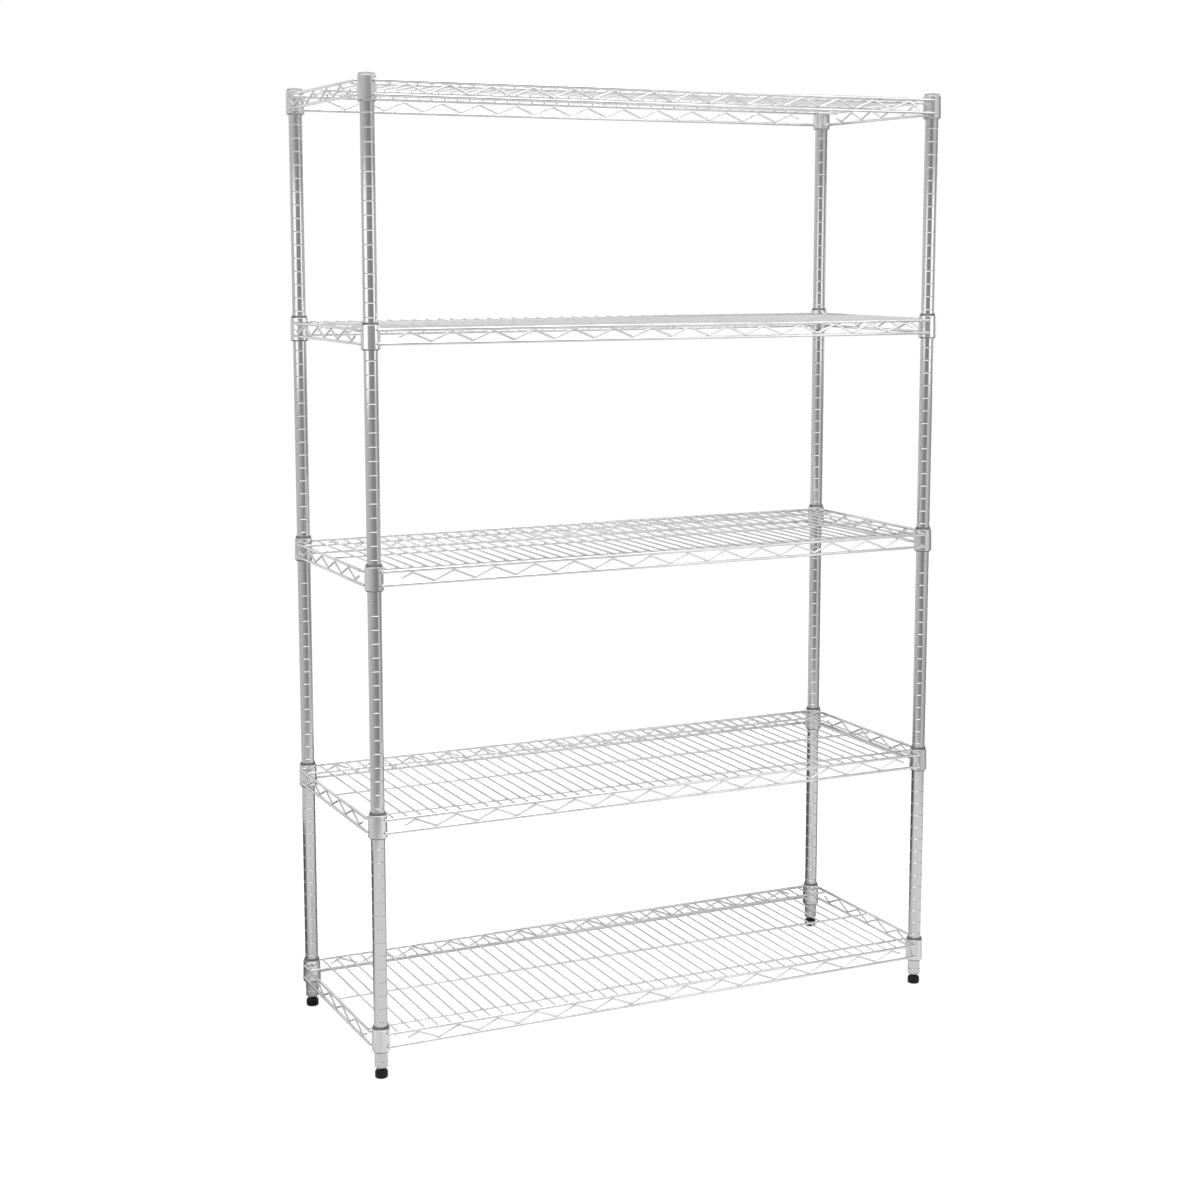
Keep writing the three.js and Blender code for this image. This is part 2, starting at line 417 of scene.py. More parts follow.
class SurfaceVariation:
    """The shader group that breaks up a finish with soft clouds and a grain drawn out upwards."""

    NAME = "surface_variation"
    SOCKETS = (
        ("INPUT", "Color", ("Base", "Shade")),
        ("INPUT", "Float", ("Roughness", "Spread", "Cloud Scale", "Grain Scale", "Streak")),
        ("OUTPUT", "Color", ("Color",)),
        ("OUTPUT", "Float", ("Roughness", "Height")),
    )
    CLOUD_DETAIL = 3.0
    CLOUD_EDGES = (0.4, 0.65)
    CLOUD_SHARE = 0.5
    GRAIN_DETAIL = 2.0
    GRAIN_MEAN = 0.5
    MIX_FACTOR, MIX_FIRST, MIX_SECOND = 0, 6, 7
    MIX_COLOUR = 2

    @staticmethod
    def noise(tree: Tree, place: Socket, scale: Socket, detail: float) -> Socket:
        """Adds a noise of a given scale and detail."""
        inputs = {"Vector": place, "Scale": scale, "Detail": detail}
        return tree.add("ShaderNodeTexNoise", inputs).outputs["Fac"]

    @classmethod
    def group(cls) -> bpy.types.NodeTree:
        """Builds the group once.

        Returns:
            The shared group.
        """
        made = bpy.data.node_groups.get(cls.NAME)
        if made is not None:
            return made
        group = bpy.data.node_groups.new(cls.NAME, "ShaderNodeTree")
        for way, kind, names in cls.SOCKETS:
            for name in names:
                socket = f"NodeSocket{kind}"
                group.interface.new_socket(name=name, in_out=way, socket_type=socket)
        tree = Tree(group)
        given = tree.add("NodeGroupInput").outputs
        axes = tree.axes()
        height = tree.math("MULTIPLY", axes["Z"], given["Streak"])
        stretched = {"X": axes["X"], "Y": axes["Y"], "Z": height}
        place = tree.add("ShaderNodeCombineXYZ", stretched).outputs[0]
        clouds = cls.noise(tree, place, given["Cloud Scale"], cls.CLOUD_DETAIL)
        grain = cls.noise(tree, place, given["Grain Scale"], cls.GRAIN_DETAIL)
        mask = tree.rise(clouds, *cls.CLOUD_EDGES)
        mixed = {cls.MIX_FACTOR: mask, cls.MIX_FIRST: given["Base"], cls.MIX_SECOND: given["Shade"]}
        colour = tree.add("ShaderNodeMix", mixed, data_type="RGBA").outputs[cls.MIX_COLOUR]
        swing = tree.math("SUBTRACT", grain, cls.GRAIN_MEAN)
        rough = tree.math("MULTIPLY_ADD", swing, given["Spread"], given["Roughness"])
        clouded = tree.math("MULTIPLY", given["Spread"], cls.CLOUD_SHARE)
        rough = tree.math("MULTIPLY_ADD", mask, clouded, rough)
        tree.add("NodeGroupOutput", {"Color": colour, "Roughness": rough, "Height": grain})
        return group


@dataclass(frozen=True)
class Finish:
    """A finish, with the material slot of the record that it dresses.

    Attributes:
        name: The material's name.
        slot: The record's material slot. Not used.
        base: The main colour.
        shade: The colour of its clouding.
        roughness: The mean roughness.
        spread: How far the roughness swings.
        cloud: Clouds per metre.
        grain: Grains per metre.
        relief: The height of the grain, in metres.
        metallic: 1 for bare metal and 0 for plastic.
        streak: How much longer the grain is upwards than across.
        gloss: The strength of a plastic's own reflection.
    """

    name: str
    slot: str
    base: Colour
    shade: Colour
    roughness: float
    spread: float
    cloud: float
    grain: float
    relief: float
    metallic: float = 1.0
    streak: float = 1.0
    gloss: float = 0.5

    def material(self) -> bpy.types.Material:
        """Builds the material once.

        Returns:
            The finish's material.
        """
        made = bpy.data.materials.get(self.name)
        if made is not None:
            return made
        material = bpy.data.materials.new(self.name)
        tree = Tree.emptied(material)
        values = {
            "Base": (*self.base, 1.0),
            "Shade": (*self.shade, 1.0),
            "Roughness": self.roughness,
            "Spread": self.spread,
            "Cloud Scale": self.cloud,
            "Grain Scale": self.grain,
            "Streak": 1 / self.streak,
        }
        varied = tree.add("ShaderNodeGroup", values, node_tree=SurfaceVariation.group()).outputs
        bump = tree.add("ShaderNodeBump", {"Height": varied["Height"], "Distance": self.relief})
        shader = tree.add(
            "ShaderNodeBsdfPrincipled",
            {
                "Base Color": varied["Color"],
                "Roughness": varied["Roughness"],
                "Metallic": self.metallic,
                "Specular IOR Level": self.gloss,
                "Normal": bump.outputs["Normal"],
            },
        )
        tree.surface(shader.outputs[0])
        return material

    def dress(self, mesh: bpy.types.Mesh, name: str, body: str, *nodes: str) -> None:
        """Makes a finished piece that stands for solids of the frame.

        Args:
            mesh: The piece's mesh, in place.
            name: The piece's name.
            body: The body that it moves with.
            *nodes: The solids that it stands for.
        """
        mesh.name = name
        mesh.materials.append(self.material())
        piece = bpy.data.objects.new(name, mesh)
        bpy.context.scene.collection.objects.link(piece)
        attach(piece, body)
        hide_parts(*nodes)
        LOG.info("%s: %d faces on %s", name, len(mesh.polygons), body)

    def dress_over(self, parts: Iterable[Mesh], node: str, ending: str, body: str) -> None:
        """Gathers meshes over the middle of a solid and makes them the piece that stands for it.

        Args:
            parts: The meshes, round the Z axis.
            node: The solid.
            ending: What the piece's name adds to the solid's.
            body: The body that it moves with.
        """
        mesh = Shaping.gathered(parts)
        mesh.transform(Matrix.Translation(Node.centre(node)))
        self.dress(mesh, f"{node}_{ending}", body, node)


def grey(value: float) -> Colour:
    """A neutral grey, a touch bluer than it is red."""
    return (value, value, value * 1.006)


POST_CHROME = Finish(
    "post_plating", "post_chrome", grey(0.63), grey(0.57),
    roughness=0.09, spread=0.1, cloud=14, grain=700, relief=0.02 * MM, streak=6.0,
)
RAIL_CHROME = Finish(
    "wire_plating", "shelf_chrome", grey(0.83), grey(0.75),
    roughness=0.1, spread=0.06, cloud=30, grain=1500, relief=0.02 * MM,
)
COLLAR_CHROME = Finish(
    "collar_plating", "shelf_chrome", grey(0.76), grey(0.6),
    roughness=0.12, spread=0.14, cloud=60, grain=1400, relief=0.03 * MM, streak=14.0,
)
ZINC_STEEL = Finish(
    "zinc_coating", "zinc_steel", grey(0.86), grey(0.74),
    roughness=0.3, spread=0.12, cloud=60, grain=2500, relief=0.04 * MM,
)
SLEEVE_PLASTIC = Finish(
    "sleeve_shell", "grey_plastic", grey(0.17), grey(0.13),
    roughness=0.32, spread=0.1, cloud=80, grain=3000, relief=0.03 * MM, metallic=0.0, gloss=0.35,
)
# The caps' own grey. On the top shelf's sleeves, which are the same plastic as the rest, it is
# painted light that makes them read lighter.
CAP_AND_LIT_SLEEVE_PLASTIC = Finish(
    "cap_and_lit_sleeve_shell", "grey_plastic", grey(0.42), grey(0.36),
    roughness=0.36, spread=0.1, cloud=80, grain=3000, relief=0.03 * MM, metallic=0.0,
)
BLACK_PLASTIC = Finish(
    "foot_shell", "black_plastic", grey(0.003), grey(0.008),
    roughness=0.38, spread=0.12, cloud=90, grain=3200, relief=0.05 * MM, metallic=0.0, gloss=0.2,
)


@dataclass
class GroovedPost:
    """The two lengths of a post, with the rings rolled into them.

    Attributes:
        radius: The tube's outer radius.
        wall: The tube's wall.
        pitch: The spacing of the grooves.
        top_groove: The height of the highest groove.
        depth: How deep a groove is.
        half_width: Half the width of a groove at the surface.
        edge: The rounding of the tube's cut ends.
        flats: How many flats go round the tube.
    """

    radius: float = 12.7 * MM
    wall: float = 1.2 * MM
    pitch: float = 25 * MM
    top_groove: float = 1782 * MM
    depth: float = 0.85 * MM
    half_width: float = 0.95 * MM
    edge: float = 0.4 * MM
    flats: int = 40

    # One side of a groove: the place along the tube in half widths, and the share of the depth.
    GROOVE_SIDE = ((-1.2, 0.0), (-1.06, 0.0), (-0.92, 0.1), (-0.12, 0.93))

    def grooves(self, low: float, high: float) -> list[float]:
        """The grooves on a length of tube.

        Args:
            low: The height of its lower end.
            high: The height of its upper end.

        Returns:
            The grooves' heights, from the lowest.
        """
        clear = 2 * self.half_width
        first = math.ceil((low + clear - self.top_groove) / self.pitch)
        last = math.floor((high - clear - self.top_groove) / self.pitch)
        return [self.top_groove + index * self.pitch for index in range(first, last + 1)]

    def profile(self, low: float, high: float) -> Points:
        """The section of a length of tube.

        Args:
            low: The height of its lower end.
            high: The height of its upper end.

        Returns:
            Radius and height of each point round the wall.
        """
        bore = self.radius - self.wall
        points = [(bore, low), (self.radius - self.edge, low), (self.radius, low + self.edge)]
        rising = [(-along, deep) for along, deep in reversed(self.GROOVE_SIDE)]
        for height in self.grooves(low, high):
            points += [
                (self.radius - self.depth * deep, height + self.half_width * along)
                for along, deep in (*self.GROOVE_SIDE, (0.0, 1.0), *rising)
            ]
        points += [(self.radius, high - self.edge), (self.radius - self.edge, high), (bore, high)]
        return points

    def build(self) -> None:
        """Makes every length of post."""
        for part in ("post_lower", "post_upper"):
            low, high = Node.heights(Node.at(part, Corner.FRONT_LEFT))
            turned = Shaping.turned(self.profile(low, high), self.flats, closed=True)
            tube = Shaping.gathered([turned])
            for corner in Corner:
                node = Node.at(part, corner)
                mesh = Shaping.copied(tube, Matrix.Translation(Node.centre(node)))
                POST_CHROME.dress(mesh, f"{node}_grooved", "posts", node)


@dataclass
class PostEnds:
    """The cap, the joint and the threaded insert of each post.

    Attributes:
        rim: The radius of a cap's crown where it leaves the post, and of an insert's flange.
        plug: The radius of what sits inside the tube.
        bore: The radius of the insert's thread.
        tip: The radius of the insert's lower tip.
        gap: The gap between the tube's end and what rests on it.
        shoulder: The height of a cap's straight side below its dome.
        cap_bevel: The bevel of a cap's plug.
        lip: The rounding of a cap's rim, inwards and upwards.
        plug_bevel: The bevel of the joint and of the insert's top.
        dome_points: How many points the dome has.
        dome_step: The angle between them, in radians.
    """

    rim: float = 12.7 * MM
    plug: float = 11.2 * MM
    bore: float = 4.3 * MM
    tip: float = 5.5 * MM
    gap: float = 0.3 * MM
    shoulder: float = 1.2 * MM
    cap_bevel: float = 0.8 * MM
    lip: tuple[float, float] = (0.2 * MM, 0.3 * MM)
    plug_bevel: float = 1.0 * MM
    dome_points: int = 5
    dome_step: float = 0.26

    # How far the flange's points lie inside its rim and below its top, in millimetres.
    FLANGE = ((1.1, 1.5), (0.2, 0.8), (0.0, 0.3), (0.0, 0.0))
    # How far the tip's points lie inside its radius and above its end, in millimetres.
    TIP = ((0.4, 0.0), (0.0, 0.3))

    def cap_profile(self, low: float, seat: float, top: float) -> Points:
        """The section of a domed cap.

        Args:
            low: The lower end of its plug.
            seat: The height at which its crown begins.
            top: The highest point of the dome.

        Returns:
            Radius and height of each point.
        """
        shoulder = seat + self.shoulder
        plug = [(0.0, low), (self.plug - self.cap_bevel, low), (self.plug, low + self.cap_bevel)]
        side = [
            (self.plug, seat),
            (self.rim - self.lip[0], seat),
            (self.rim, seat + self.lip[1]),
            (self.rim, shoulder),
        ]
        angles = [QUARTER_TURN - self.dome_step * step for step in range(1, self.dome_points + 1)]
        dome = [
            (self.rim * math.sin(angle), shoulder + (top - shoulder) * math.cos(angle))
            for angle in angles
        ]
        return [*plug, *side, *dome, (0.0, top)]

    def insert_profile(self, low: float, seat: float, high: float) -> Points:
        """The section of a foot's insert, with the tapered flange below the tube.

        Args:
            low: The height of its tip.
            seat: The height of the tube's lower end.
            high: The height of its upper end.

        Returns:
            Radius and height of each point.
        """
        flange = seat - self.gap
        return [
            (self.bore, low),
            *((self.tip - inside * MM, low + above * MM) for inside, above in self.TIP),
            *((self.rim - inside * MM, flange - below * MM) for inside, below in self.FLANGE),
            (self.plug, flange),
            (self.plug, high - self.plug_bevel),
            (self.plug - self.plug_bevel, high),
            (self.bore, high),
        ]

    def joint_profile(self, low: float, high: float) -> Points:
        """The section of the plug that joins two lengths of tube.

        Args:
            low: The height of its lower end.
            high: The height of its upper end.

        Returns:
            Radius and height of each point.
        """
        bevel = self.plug_bevel
        end = [(0.0, low), (self.plug - bevel, low), (self.plug, low + bevel)]
        far_end = [(radius, low + high - height) for radius, height in reversed(end)]
        return [*end, (self.plug, (low + high) / 2), *far_end]

    def build(self) -> None:
        """Makes every cap, joint and insert."""
        for corner in Corner:
            node = Node.at("post_cap", corner)
            low, top = Node.heights(node)
            seat = Node.heights(Node.at("post_upper", corner))[1] + self.gap
            cap = Shaping.turned(self.cap_profile(low, seat, top))
            CAP_AND_LIT_SLEEVE_PLASTIC.dress_over([cap], node, "domed", "posts")

            node = Node.at("foot_insert", corner)
            low, high = Node.heights(node)
            seat = Node.heights(Node.at("post_lower", corner))[0]
            insert = Shaping.turned(self.insert_profile(low, seat, high), closed=True)
            ZINC_STEEL.dress_over([insert], node, "flanged", "posts")

            node = Node.at("post_coupler", corner)
            joint = Shaping.turned(self.joint_profile(*Node.heights(node)))
            ZINC_STEEL.dress_over([joint], node, "plug", "posts")


@dataclass
class SplitSleeve:
    """The two half shells that snap round a post, in a groove, under each collar.

    Attributes:
        bore: The inner radius.
        top_radius: The outer radius at the top.
        bottom_radius: The outer radius at the bottom.
        edge: The rounding of its rims.
        seam: Half the angle of the slit between the halves, in radians.
        flats: How many flats go round a half.
    """

    bore: float = 13 * MM
    top_radius: float = 14.7 * MM
    bottom_radius: float = 15.7 * MM
    edge: float = 0.5 * MM
    seam: float = 0.03
    flats: int = 24

    def half(self, height: float) -> Mesh:
        """One half shell, its base at height zero.

        Args:
            height: The sleeve's height.

        Returns:
            The half's mesh, on the far side of the slit.
        """
        edge = self.edge
        profile = (
            (self.bore, 0.0),
            (self.bottom_radius - edge, 0.0),
            (self.bottom_radius, edge),
            (self.top_radius, height - 2 * edge),
            (self.top_radius - edge, height - 0.4 * edge),
            (self.top_radius - 1.8 * edge, height),
            (self.bore + edge, height),
            (self.bore, height - edge),
        )
        mesh = bmesh.new()
        drawn = Shaping.outline(mesh, profile, closed=True)
        Shaping.moved(mesh, Matrix.Rotation(self.seam, 4, "Z"))
        Shaping.spin(mesh, drawn, math.pi - 2 * self.seam, self.flats)
        return Shaping.capped(mesh)

    def build(self) -> None:
        """Makes every sleeve."""
        low, high = Node.heights(Node.sleeve(Shelf.BOTTOM, Corner.FRONT_LEFT))
        shell = self.half(high - low)
        twin = Shaping.moved(shell.copy(), Matrix.Rotation(math.pi, 4, "Z"))
        pair = Shaping.gathered([shell, twin])
        for shelf in Shelf:
            # Painted light: the top shelf's sleeves take the caps' lighter grey so that they read
            # as lit, though they are the same plastic as the other sleeves.
            finish = CAP_AND_LIT_SLEEVE_PLASTIC if shelf is Shelf.TOP else SLEEVE_PLASTIC
            for corner in Corner:
                node = Node.sleeve(shelf, corner)
                place = Node.centre(Node.at("post_lower", corner))
                place.z = Node.heights(node)[0]
                mesh = Shaping.copied(pair, Matrix.Translation(place))
                finish.dress(mesh, f"{node}_halves", "posts", node)


@dataclass
class LevellingFoot:
    """The round pad on the floor and the threaded stud that carries it.

    Attributes:
        radius: The pad's widest radius.
        base: The radius of its underside.
        base_round: The height of its lower rounding.
        neck: The radius of its top edge.
        neck_round: The height of its upper rounding.
        round_steps: How many steps a rounding has.
        bore: The radius of the hole for the stud.
        pocket: The radius of the pocket for the stud's head.
        floor: The thickness under the pocket.
        pocket_height: The height of the pocket.
        head: The radius of the stud's head.
        head_height: Its height.
        head_edge: The bevel of its rims.
        core: The radius of the stud's shank between the threads.
        crest: The radius of its thread.
        point: The length and the inset of the shank's bevelled end.
        thread: The pitch of the thread.
        ridge: Half the width of the thread's ridge, as a share of the pitch.
        sunk: How deep the ridge's foot lies in the shank.
        ridge_flats: How many flats a turn of the ridge has.
        shank_flats: How many flats go round the shank.
    """

    radius: float = 12 * MM
    base: float = 10 * MM
    base_round: float = 3 * MM
    neck: float = 8 * MM
    neck_round: float = 5 * MM
    round_steps: int = 5
    bore: float = 4.3 * MM
    pocket: float = 6.5 * MM
    floor: float = 6.5 * MM
    pocket_height: float = 4.6 * MM
    head: float = 6.2 * MM
    head_height: float = 4.0 * MM
    head_edge: float = 0.6 * MM
    core: float = 3.55 * MM
    crest: float = 4.0 * MM
    point: tuple[float, float] = (1.0 * MM, 0.8 * MM)
    thread: float = 1.25 * MM
    ridge: float = 0.36
    sunk: float = 0.1 * MM
    ridge_flats: int = 16
    shank_flats: int = 32

    def rounding(self, inner: float, depth: float) -> Points:
        """A quarter round between an inner radius and the pad's widest one.

        Args:
            inner: The inner radius.
            depth: How far it reaches along the pad.

        Returns:
            The radius of each point and its distance from the pad's end.
        """
        reach = self.radius - inner
        angles = [QUARTER_TURN * step / self.round_steps for step in range(self.round_steps + 1)]
        return [(inner + reach * math.sin(a), depth * (1 - math.cos(a))) for a in angles]

    def pad_profile(self, height: float) -> Points:
        """The section of a pad, its underside at height zero.

        Args:
            height: The pad's height.

        Returns:
            Radius and height of each point.
        """
        upper = reversed(self.rounding(self.neck, self.neck_round))
        ceiling = self.floor + self.pocket_height
        return [
            (0.0, 0.0),
            *self.rounding(self.base, self.base_round),
            *((radius, height - depth) for radius, depth in upper),
            (self.bore, height),
            (self.bore, ceiling),
            (self.pocket, ceiling),
            (self.pocket, self.floor),
            (0.0, self.floor),
        ]

    def stud(self, low: float, high: float) -> list[Mesh]:
        """A stud with its head and its thread.

        Args:
            low: The underside of the head.
            high: The top of the shank.

        Returns:
            The shank with its head, and the ridge of the thread.
        """
        head_top = low + self.head_height
        bevel, inset = self.point
        shank = [
            (0.0, low),
            (self.head - self.head_edge, low),
            (self.head, low + self.head_edge),
            (self.head, head_top - self.head_edge),
            (self.head - self.head_edge, head_top),
            (self.core, head_top),
            (self.core, high - bevel),
            (self.core - inset, high),
            (0.0, high),
        ]
        half = self.ridge * self.thread
        start = head_top + 2 * half
        foot = self.core - self.sunk
        section = ((foot, start - half), (self.crest, start), (foot, start + half))
        turns = math.floor((high - bevel - start - half) / self.thread)
        mesh = bmesh.new()
        drawn = Shaping.outline(mesh, section, closed=True)
        step_rise = self.thread / self.ridge_flats
        Shaping.spin(mesh, drawn, math.tau * turns, self.ridge_flats * turns, rise=step_rise)
        return [Shaping.turned(shank, self.shank_flats), Shaping.capped(mesh)]

    def build(self) -> None:
        """Makes every pad and stud."""
        for corner in Corner:
            node = Node.at("foot_pad", corner)
            pad = Shaping.turned(self.pad_profile(Node.heights(node)[1]))
            BLACK_PLASTIC.dress_over([pad], node, "rounded", f"pad_{corner.label}")

            node = Node.at("foot_stud", corner)
            stud = self.stud(*Node.heights(node))
            ZINC_STEEL.dress_over(stud, node, "threaded", f"stud_{corner.label}")


@dataclass
class WireShelf:
    """A welded wire shelf, measured from the base of its collars.

    Attributes:
        post_x: Half the spacing of the posts across the rack.
        post_y: Half their spacing from front to back.
        rail_x: Half the spacing of the side rails.
        rail_y: Half the spacing of the front and back rails.
        rail: The radius of a rail.
        rail_end: How far short of the posts' middles the rails end.
        top_rail: The height of the upper rails.
        bottom_rail: The height of the lower rails.
        zigzag: The radius of the zigzag wires.
        zigzag_weld: How deep their bends sink into the rails.
        bend: The radius at which they bend.
        front_bends: How many bends the front and back ones have.
        front_step: The distance between these bends, in spacings of the cross wires.
        side_bends: How many bends the side ones have.
        side_inset: How far the side ones' end bends lie from the posts' middles.
        cross: The radius of the cross wires.
        cross_rise: How far their middles lie above those of the upper rails.
        cross_count: How many cross wires there are.
        cross_weld: How deep their ends sink into the rails.
        support: The radius of the support wires.
        support_inset: How far the outer support wires lie inside the posts' middles.
        support_weld: How deep the middle one's ends sink into the side rails.
        crossing_weld: How deep cross wires and support wires sink into each other.
        collar_height: The height of a collar.
        collar_wall: The wall of a collar.
        collar_base: Its outer radius at the base.
        collar_top: Its outer radius at the top.
        collar_edge: The rounding of its rims.
    """

    post_x: float
    post_y: float
    rail_x: float
    rail_y: float
    rail: float = 2.75 * MM
    rail_end: float = 7 * MM
    top_rail: float = 33.5 * MM
    bottom_rail: float = 9 * MM
    zigzag: float = 2 * MM
    zigzag_weld: float = 0.25 * MM
    bend: float = 4.5 * MM
    front_bends: int = 27
    front_step: float = 1.5
    side_bends: int = 9
    side_inset: float = 51 * MM
    cross: float = 1.6 * MM
    cross_rise: float = 1 * MM
    cross_count: int = 43
    cross_weld: float = 0.6 * MM
    support: float = 2.25 * MM
    support_inset: float = 33 * MM
    support_weld: float = 0.4 * MM
    crossing_weld: float = 0.1 * MM
    collar_height: float = 42 * MM
    collar_wall: float = 1.5 * MM
    collar_base: float = 17.45 * MM
    collar_top: float = 16.58 * MM
    collar_edge: float = 0.45 * MM

    RAIL_FLATS = 20
    SUPPORT_FLATS = 16
    CROSS_FLATS = 12
    ZIGZAG_FLATS = 10
    BEND_STEPS = 4
    LEAN_ROUNDS = 6

    @property
    def cross_pitch(self) -> float:
        """The spacing of the cross wires."""
        return 2 * self.post_x / (self.cross_count + 1)

    def collar(self) -> Mesh:
        """A tapered collar with rounded rims.

        Returns:
            The collar's mesh, its base at height zero.
        """
        edge = self.collar_edge
        wall = self.collar_wall
        height = self.collar_height
        base, top = self.collar_base, self.collar_top
        slope = (base - top) / height
        profile = (
            (base - wall + edge, 0.0),
            (base - edge, 0.0),
            (base - slope * edge, edge),
            (base - slope * 2 * edge, 2 * edge),
            (top + slope * 2 * edge, height - 2 * edge),
            (top + slope * edge, height - edge),
            (top - edge, height),
            (top - wall + edge, height),
            (top - wall, height - edge),
            (base - wall, edge),
        )
        return Shaping.turned(profile, closed=True)

    def across(self, y: float, height: float, reach: float, radius: float, flats: int) -> Mesh:
        """A straight wire across the rack, as long each way from the middle as its reach."""
        ends = Vector((-reach, y, height)), Vector((reach, y, height))
        return Shaping.rod(*ends, radius, flats)

    def deep(self, x: float, height: float, reach: float, radius: float, flats: int) -> Mesh:
        """A straight wire from front to back, as long each way from the middle as its reach."""
        ends = Vector((x, -reach, height)), Vector((x, reach, height))
        return Shaping.rod(*ends, radius, flats)

    def support_wire(self, y: float, reach: float) -> Mesh:
        """A wire along the shelf, under the cross wires.

        Args:
            y: Its place from front to back.
            reach: How far it runs each way from the middle.

        Returns:
            The wire's mesh.
        """
        depth = self.cross + self.support - self.crossing_weld
        height = self.top_rail + self.cross_rise - depth
        return self.across(y, height, reach, self.support, self.SUPPORT_FLATS)

    def sharpness(self, reach: float, lean: float) -> float:
        """How high the legs of a zigzag would meet if they didn't bend."""
        return reach + self.bend * (1 / math.cos(lean) - 1)

    def leaning(self, reach: float, half_pitch: float) -> float:
        """The slope of a zigzag's legs, found by a few rounds of refinement.

        Args:
            reach: How far the bends' middle line rises from the middle.
            half_pitch: The distance between neighbouring bends.

        Returns:
            The slope's angle, in radians.
        """
        angle = math.atan(2 * reach / half_pitch)
        for _ in range(self.LEAN_ROUNDS):
            angle = math.atan(2 * self.sharpness(reach, angle) / half_pitch)
        return angle

    def bent_wire(self, bends: int, half_pitch: float, starts_high: bool) -> Mesh:
        """A zigzag wire along X, centred between the rails at their middle height.

        Args:
            bends: How many bends it has.
            half_pitch: The distance between neighbouring bends.
            starts_high: Whether the first bend is a peak.

        Returns:
            The wire's mesh.
        """
        half_gap = (self.top_rail - self.bottom_rail) / 2 - self.rail
        reach = half_gap - self.zigzag + self.zigzag_weld
        lean = self.leaning(reach, half_pitch)
        sharp = self.sharpness(reach, lean)
        middle = (self.top_rail + self.bottom_rail) / 2
        end = bends * half_pitch / 2
        stations = []

        def station(x: float, z: float, tilt: float) -> None:
            """Adds a section at a place, facing along the wire."""
            turn = Matrix.Rotation(QUARTER_TURN - tilt, 4, "Y")
            stations.append(Matrix.Translation((x, 0.0, middle + z)) @ turn)

        first = 1 if starts_high else -1
        station(-end, 0.0, first * lean)
        for index in range(bends):
            way = first if index % 2 == 0 else -first
            centre_x = (index - (bends - 1) / 2) * half_pitch
            centre_z = way * (sharp - self.bend / math.cos(lean))
            for step in range(self.BEND_STEPS + 1):
                tilt = way * lean * (1 - 2 * step / self.BEND_STEPS)
                x = centre_x - way * self.bend * math.sin(tilt)
                z = centre_z + way * self.bend * math.cos(tilt)
                station(x, z, tilt)
        last = first if bends % 2 == 1 else -first
        station(end, 0.0, -last * lean)
        return Shaping.swept(stations, self.zigzag, self.ZIGZAG_FLATS)

    def frame_parts(self) -> list[Mesh]:
        """The wires of a shelf's frame.

        Returns:
            The rails, zigzag wires and outer support wires.
        """
        parts = []
        section = self.rail, self.RAIL_FLATS
        long_reach = self.post_x - self.rail_end
        short_reach = self.post_y - self.rail_end
        long_step = self.cross_pitch * self.front_step
        short_step = 2 * (self.post_y - self.side_inset) / (self.side_bends - 1)
        quarter = Matrix.Rotation(QUARTER_TURN, 4, "Z")
        for side in (-1, 1):
            x, y = side * self.rail_x, side * self.rail_y
            for height in (self.top_rail, self.bottom_rail):
                parts.append(self.across(y, height, long_reach, *section))
                parts.append(self.deep(x, height, short_reach, *section))
            long_wire = self.bent_wire(self.front_bends, long_step, True)
            parts.append(Shaping.moved(long_wire, Matrix.Translation((0, y, 0))))
            short_wire = self.bent_wire(self.side_bends, short_step, False)
            parts.append(Shaping.moved(short_wire, Matrix.Translation((x, 0, 0)) @ quarter))
            y = side * (self.post_y - self.support_inset)
            parts.append(self.support_wire(y, self.rail_x))
        return parts

    def collar_parts(self) -> list[Mesh]:
        """The collars of a shelf.

        Returns:
            The four collars, in place.
        """
        parts = []
        for corner in Corner:
            place = (corner.across * self.post_x, corner.deep * self.post_y, 0)
            parts.append(Shaping.moved(self.collar(), Matrix.Translation(place)))
        return parts

    def deck_parts(self) -> list[Mesh]:
        """The wires of a shelf's deck.

        Returns:
            The cross wires and the middle support wire.
        """
        parts = [self.support_wire(0.0, self.rail_x - self.rail + self.support_weld)]
        reach = self.rail_y - self.rail + self.cross_weld
        height = self.top_rail + self.cross_rise
        for index in range(1, self.cross_count + 1):
            x = index * self.cross_pitch - self.post_x
            parts.append(self.deep(x, height, reach, self.cross, self.CROSS_FLATS))
        return parts

    def build(self) -> None:
        """Makes every shelf."""
        rails = Shaping.gathered(self.frame_parts())
        collars = Shaping.gathered(self.collar_parts())
        wires = Shaping.gathered(self.deck_parts())
        for shelf in Shelf:
            body = f"{shelf.value}_shelf"
            node = Node.frame(shelf)
            place = Matrix.Translation((0, 0, Node.heights(node)[0]))
            RAIL_CHROME.dress(Shaping.copied(rails, place), f"{node}_rails", body, node)
            COLLAR_CHROME.dress(Shaping.copied(collars, place), f"{node}_collars", body, node)
            node = Node.deck(shelf)
            RAIL_CHROME.dress(Shaping.copied(wires, place), f"{node}_wires", body, node)


